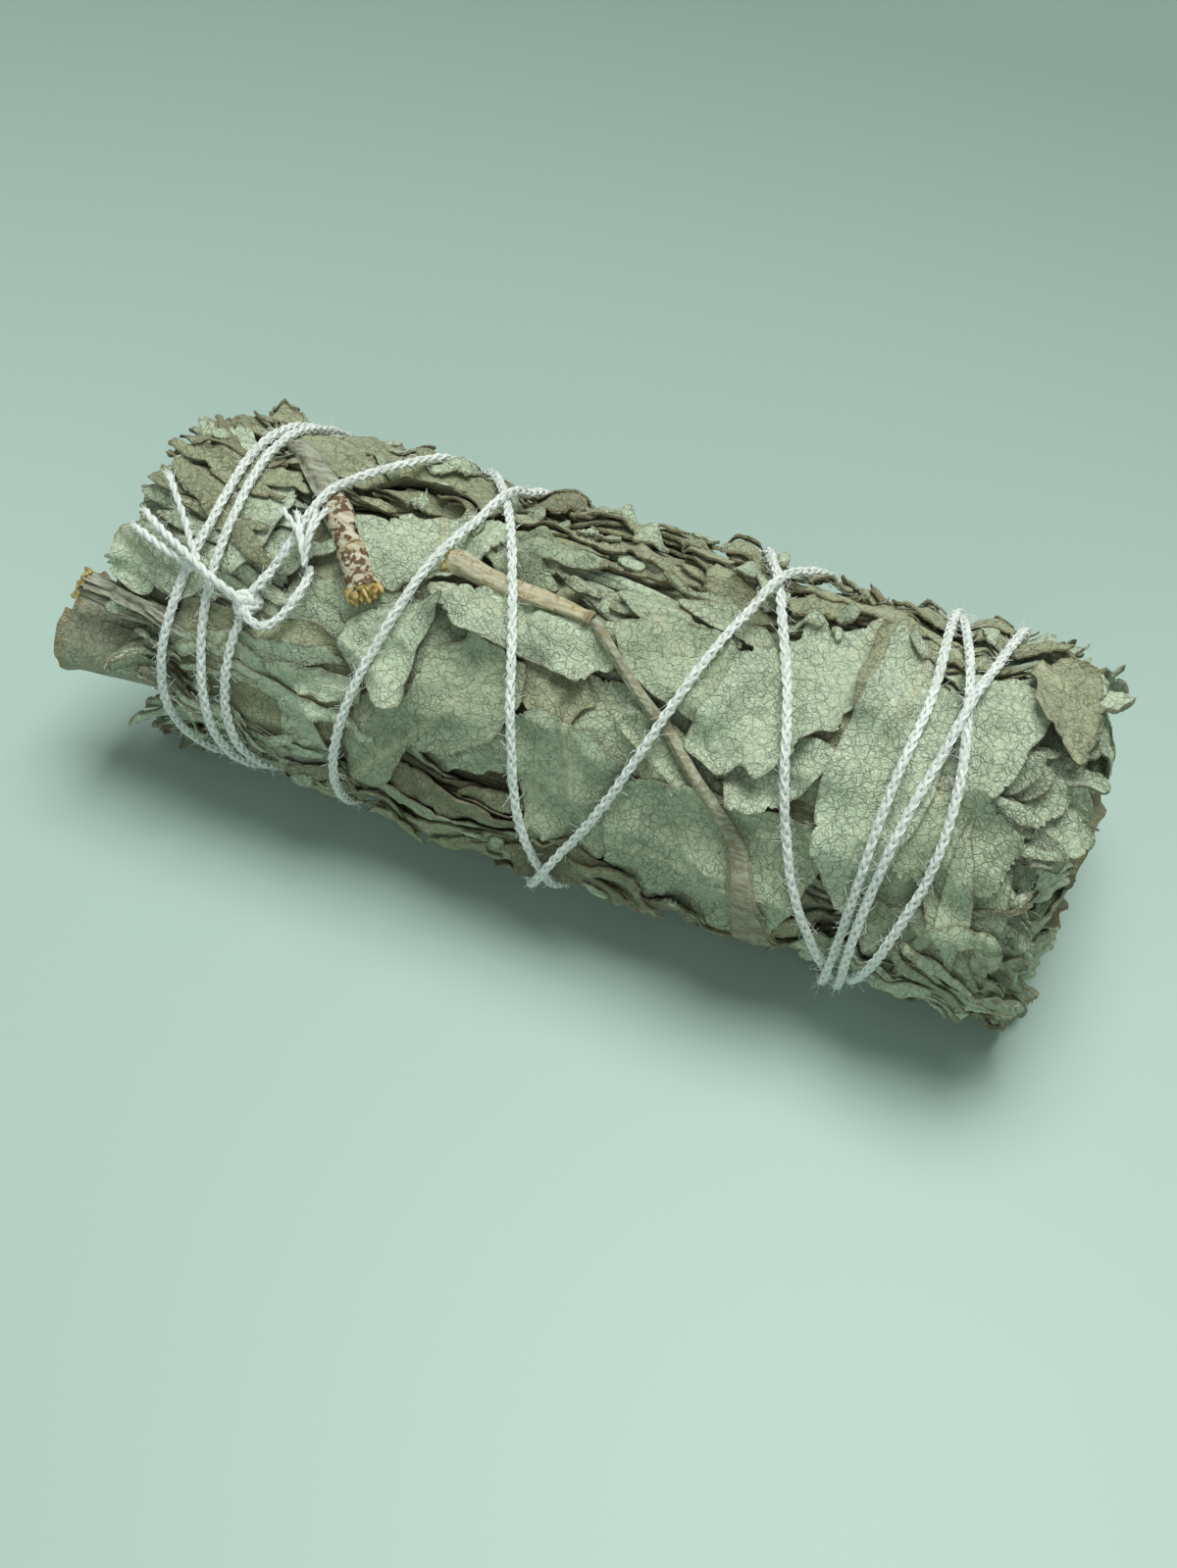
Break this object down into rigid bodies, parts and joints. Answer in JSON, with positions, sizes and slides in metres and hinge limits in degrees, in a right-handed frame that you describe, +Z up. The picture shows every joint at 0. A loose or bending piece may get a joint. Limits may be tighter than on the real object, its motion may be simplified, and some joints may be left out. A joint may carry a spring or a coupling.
{
  "type": "sage bunch",
  "caption": "Bundle of dried white sage leaves and stems wound with cotton string, lying on its side.",
  "frame": {"origin": "on the surface that the bunch lies on, under the middle of its bounding box", "axes": "+X along the bunch from the cut stems to the leaf tips, +Z up"},
  "size_m": [0.1062, 0.0417, 0.0381],
  "materials": {
    "grey_leaf": "dry, felted with pale hairs",
    "green_leaf": "dry, dull, finely netted veins",
    "olive_leaf": "dry, dull, older and browner",
    "leaf_stalk": "dry and fibrous",
    "cut_stem": "pale, dry, ribbed lengthwise",
    "twig_bark": "mottled bark, matt",
    "cotton_string": "soft twisted cotton, fuzzy"
  },
  "bodies": {
    "root": {"back_leaf_left": "grey_leaf", "back_leaf_right": "olive_leaf", "belly_leaf_middle": "grey_leaf", "belly_leaf_stem_end": "grey_leaf", "belly_leaf_tip_end": "grey_leaf", "big_oval_leaf": "grey_leaf", "binding_string": "cotton_string", "broad_leaf": "green_leaf", "broken_twig": "twig_bark", "centre_twig": "cut_stem", "core_leaf_1": "olive_leaf", "core_leaf_2": "olive_leaf", "core_leaf_3": "olive_leaf", "core_leaf_4": "olive_leaf", "inner_leaf_1": "green_leaf", "inner_leaf_2": "green_leaf", "inner_leaf_3": "green_leaf", "inner_leaf_4": "green_leaf", "inner_leaf_5": "green_leaf", "leaf_stalk": "leaf_stalk", "left_leaf": "grey_leaf", "lower_front_leaf": "green_leaf", "lower_tip_leaf": "grey_leaf", "middle_leaf_1": "grey_leaf", "middle_leaf_2": "grey_leaf", "middle_leaf_3": "grey_leaf", "middle_leaf_4": "grey_leaf", "middle_leaf_5": "grey_leaf", "middle_leaf_6": "grey_leaf", "midrib_leaf": "green_leaf", "rear_leaf_left": "green_leaf", "rear_leaf_right": "grey_leaf", "ridge_leaf": "olive_leaf", "rolled_leaf": "grey_leaf", "shred_leaf": "grey_leaf", "stem_1": "cut_stem", "stem_2": "cut_stem", "stem_3": "cut_stem", "stem_4": "cut_stem", "stem_5": "cut_stem", "string_knot": "cotton_string", "string_tail_long": "cotton_string", "string_tail_loop": "cotton_string", "thin_stem": "cut_stem", "tip_leaf_1": "grey_leaf", "tip_leaf_2": "grey_leaf", "tip_leaf_3": "grey_leaf", "tip_leaf_4": "grey_leaf", "tip_leaf_5": "grey_leaf", "tip_side_leaf": "green_leaf", "top_left_leaf": "olive_leaf", "torn_leaf": "grey_leaf", "under_leaf_back": "green_leaf", "under_leaf_front": "green_leaf", "under_leaf_low": "olive_leaf", "under_leaf_rear_left": "grey_leaf", "under_leaf_rear_right": "green_leaf", "under_leaf_tip": "grey_leaf", "under_leaf_top_left": "olive_leaf", "under_leaf_top_right": "grey_leaf"}
  },
  "joints": []
}
